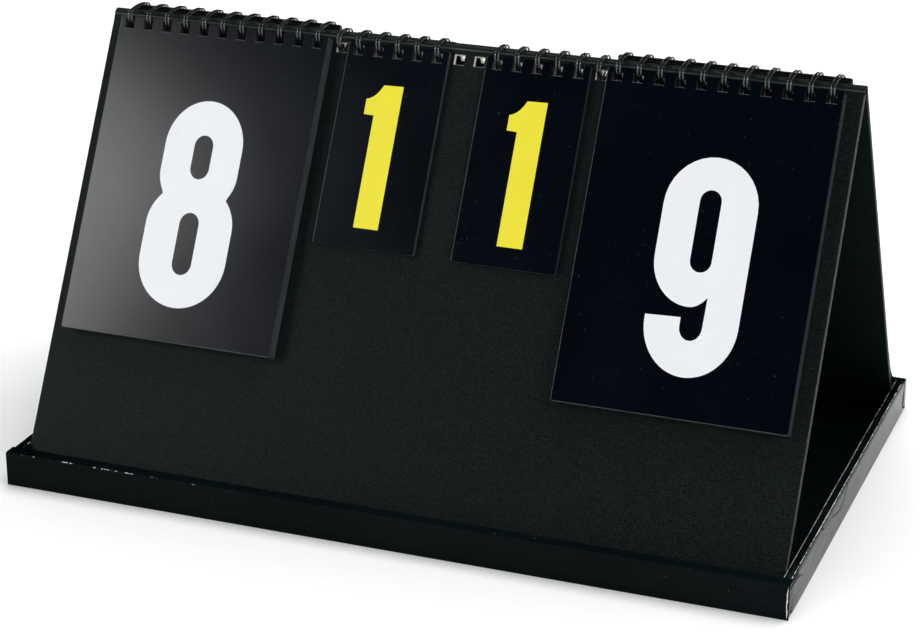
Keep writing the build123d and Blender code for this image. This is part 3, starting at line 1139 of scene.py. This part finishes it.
def nine():
    """Bowl, stem and hook as one outline, with the bowl's counter."""
    outer = arc_points((0, 19.5), 18.5, 19.5, 180, 360)
    outer += arc_points((0.1, 64.5), 18.4, 20.8, 0, 180, 28)
    outer += [(-18.3, 63.1), (-4.3, 62.6), (-4.3, 65.6)]
    outer += arc_points((0.15, 66.0), 4.45, 5.2, 180, 0, 16)
    outer += [(4.8, 53.9)]
    outer += arc_points((-2.3, 40.0), 10.8, 18.4, 50, 90, 8)
    outer += arc_points((-2.3, 40.0), 16.2, 18.4, 94, 180, 18)
    counter = symmetric_outline(-0.25, (12.8, 44.8, 4.5, 4.5, 4.25), steps=40)
    return [outer, counter]


def one():
    flag = [(-2.9, 0.2), (5.5, 0.0), (5.5, 58.8), (-5.1, 58.8), (-5.1, 12.9), (-9.4, 12.7), (-9.4, 6.4)]
    curve = [(-8.2, 6.1), (-6.6, 5.2), (-5.2, 3.9), (-4.0, 2.2)]
    return [flag + curve]


def two():
    outer = arc_points((0, 9.8), 9.2, 9.8, 180, 360, 20)
    outer += [(9.2, 14.0), (8.2, 20.5), (3.0, 36.0), (0.6, 46.0), (0.4, 49.0)]
    outer += [(9.4, 49.0), (9.4, 58.8), (-9.4, 58.8)]
    outer += [(-9.4, 50.0), (-7.0, 36.5), (-1.3, 20.0), (-0.6, 14.0)]
    outer += arc_points((-0.7, 10.6), 2.2, 3.6, 0, -180, 12)
    outer += [(-3.0, 16.5), (-9.2, 16.5)]
    return [outer]


def ten():
    taller = NUMERAL_HEIGHT["points"] / NUMERAL_HEIGHT["sets"]
    stroke = [(x * 1.35 - 15.5, y * taller) for x, y in one()[0]]
    ring = symmetric_outline(9.5, (0, 86, 19, 19, 14.5))
    hole = symmetric_outline(9.5, (14, 72, 4.6, 4.6, 3.9), steps=40)
    return [stroke, ring, hole]


NUMERALS = {"1": one, "2": two, "8": eight, "9": nine, "10": ten}


def numeral_mesh(name, outlines, thickness):
    """A thin print: outlines in millimetres filled and given a thickness."""
    curve = bpy.data.curves.new(name, "CURVE")
    curve.dimensions = "2D"
    curve.fill_mode = "BOTH"
    curve.extrude = thickness / 2
    for outline in outlines:
        spline = curve.splines.new("POLY")
        spline.points.add(len(outline) - 1)
        for point, (across, down) in zip(spline.points, outline):
            point.co = (across * MM, -down * MM, 0, 1)
        spline.use_cyclic_u = True
    holder = bpy.data.objects.new(name, curve)
    bpy.context.scene.collection.objects.link(holder)
    bpy.context.view_layer.update()
    mesh = bpy.data.meshes.new_from_object(holder.evaluated_get(bpy.context.evaluated_depsgraph_get()))
    bpy.data.objects.remove(holder)
    bpy.data.curves.remove(curve)
    return mesh


class BOARD_OT_numerals(bpy.types.Operator):
    """Print the numerals on both sides of the cards"""

    bl_idname = "board.numerals"
    bl_label = "Numerals"

    def execute(self, context):
        cards = context.scene.board_cards
        for name, group in CARD_SETS.items():
            ink = "white_ink" if group.kind == "points" else "yellow_ink"
            for label, digits, place, body in self.prints(name, group, cards):
                label = f"{name}_{label}_numeral"
                mesh = numeral_mesh(label, NUMERALS[digits](), PRINT_THICKNESS)
                mesh.transform(place)
                settle(put_in_scene(label, mesh, ink), body, "card_black")
        return {"FINISHED"}

    def prints(self, name, group, cards):
        """Label, digits, place and body of each print of a set.

        The card that shows and the next one are printed in front. The back of the card that
        shows reads as the next one, and the outermost turned card's back as the one that shows.
        """
        _, next_at, flip_at = front_places(cards, group.resting)
        distance, drop, sheets = group.layers[-1]
        turned_face = distance * MM + sheets * cards.thickness
        middle = hole_x(group.middle)
        spot = middle + group.beside * MM, group.below * MM
        foot = group.below * MM - cards.top_drop + NUMERAL_HEIGHT[group.kind]
        on_back = getattr(cards, f"{group.kind}_height") - foot
        above = cards.thickness + PRINT_THICKNESS / 2 - 0.008 * MM
        behind = PRINT_THICKNESS / 2 - 0.005 * MM
        shown = board_place(FRONT, flip_at + above, *spot)
        following = board_place(FRONT, next_at + above, *spot)
        reverse = board_place(FRONT, flip_at - behind, middle, cards.top_drop + on_back)
        rear_out = turned_face + PRINT_THICKNESS / 2 - 0.01 * MM
        rear = board_place(REAR, rear_out, middle, drop * MM + on_back, TURNED_TILT)
        return (
            ("shown", group.shown, shown, f"{name}_card"),
            ("following", group.following, following, "front_panel"),
            ("reverse", group.following, reverse @ Matrix.Rotation(math.pi, 4, "Y"), f"{name}_card"),
            ("rear", group.shown, rear, "rear_panel"),
        )


# ---- stage ------------------------------------------------------------------
class BOARD_OT_stage(bpy.types.Operator):
    """Set the pale floor, the soft lights and the camera"""

    bl_idname = "board.stage"
    bl_label = "Stage"

    def execute(self, context):
        stage = context.scene.board_stage
        self.floor(tuple(stage.floor))
        self.light("overhead_softbox", (0.6, 0.6, 1.9), (0, 0, 0), (2.6, 2.4), stage.overhead, False)
        self.light("left_softbox", (-1.2, -1.15, 0.8), (-0.1, 0, 0.1), (0.65, 0.75), stage.side_box, True)
        self.light("right_strip", (1.25, -0.85, 0.75), (0, 0, 0.12), (0.3, 0.8), stage.strip, True)
        self.light("top_strip", (-0.62, 0.35, 1.85), (0, 0, 0.12), (1.0, 0.4), stage.top_strip, True)
        self.light("rear_softbox", (0.5, 1.5, 1.3), (0, 0, 0.1), (1.2, 0.5), stage.rear_box, True)
        world = bpy.data.worlds.new("studio")
        world.use_nodes = True
        backdrop = world.node_tree.nodes["Background"].inputs
        backdrop["Color"].default_value = (0.97, 0.98, 1.0, 1)
        backdrop["Strength"].default_value = stage.surround
        world.cycles_visibility.glossy = False
        context.scene.world = world
        context.scene.view_settings.view_transform = "Standard"
        self.camera(context.scene, stage.focal)
        return {"FINISHED"}

    def camera(self, scene, focal):
        """The camera stands in front, a little to the right, and looks down on the board."""
        lens = bpy.data.cameras.new("camera")
        lens.lens = focal
        lens.sensor_width = 36
        lens.sensor_fit = "HORIZONTAL"
        lens.clip_start = 0.02
        lens.clip_end = 60
        holder = bpy.data.objects.new("camera", lens)
        holder.location = (0.35027, -0.93848, 0.45792)
        holder.rotation_euler = [math.radians(angle) for angle in (68.2228, -0.0824, 20.7625)]
        scene.collection.objects.link(holder)
        scene.camera = holder

    def floor(self, base):
        look = Finish("pale_floor", 0.75, 0.2)
        look.give("Base Color", look.varied(look.cloud(look.place(), 60.0), base, 0.985, 1.01))
        mesh = bpy.data.meshes.new("floor")
        shape = bmesh.new()
        bmesh.ops.create_grid(shape, x_segments=12, y_segments=12, size=7)
        shape.to_mesh(mesh)
        shape.free()
        put_in_scene("floor", mesh, "pale_floor")

    def light(self, name, place, target, size, watts, mirrored):
        """An area light: either plain light, or a bright panel that only the gloss mirrors."""
        data = bpy.data.lights.new(name, "AREA")
        data.shape = "RECTANGLE"
        data.size, data.size_y = size
        data.energy = watts
        holder = bpy.data.objects.new(name, data)
        holder.location = place
        holder.visible_glossy = mirrored
        holder.visible_diffuse = not mirrored
        aim = Vector(target) - Vector(place)
        holder.rotation_euler = aim.to_track_quat("-Z", "Y").to_euler()
        bpy.context.scene.collection.objects.link(holder)


OPERATORS = (
    BOARD_OT_finishes,
    BOARD_OT_tray,
    BOARD_OT_boards,
    BOARD_OT_strips,
    BOARD_OT_wires,
    BOARD_OT_cards,
    BOARD_OT_numerals,
    BOARD_OT_stage,
)


class BOARD_PT_sidebar(bpy.types.Panel):
    """Lists the scoreboard's settings and operators"""

    bl_idname = "BOARD_PT_sidebar"
    bl_label = "Flip Scoreboard"
    bl_space_type = "VIEW_3D"
    bl_region_type = "UI"
    bl_category = "Scoreboard"

    def draw(self, context):
        for operator in OPERATORS:
            self.layout.operator(operator.bl_idname)
        for name, settings in SETTINGS.items():
            box = self.layout.box()
            box.label(text=settings.__name__.replace("Settings", ""))
            for key in settings.__annotations__:
                box.prop(getattr(context.scene, name), key)


def register():
    for group in SETTINGS.values():
        bpy.utils.register_class(group)
    for name, group in SETTINGS.items():
        setattr(bpy.types.Scene, name, PointerProperty(type=group))
    for operator in OPERATORS:
        bpy.utils.register_class(operator)
    bpy.utils.register_class(BOARD_PT_sidebar)


def unregister():
    bpy.utils.unregister_class(BOARD_PT_sidebar)
    for operator in reversed(OPERATORS):
        bpy.utils.unregister_class(operator)
    for name, group in SETTINGS.items():
        delattr(bpy.types.Scene, name)
        bpy.utils.unregister_class(group)


def main():
    register()
    for operator in OPERATORS:
        family, action = operator.bl_idname.split(".")
        getattr(getattr(bpy.ops, family), action)()


if __name__ == "__main__":
    main()
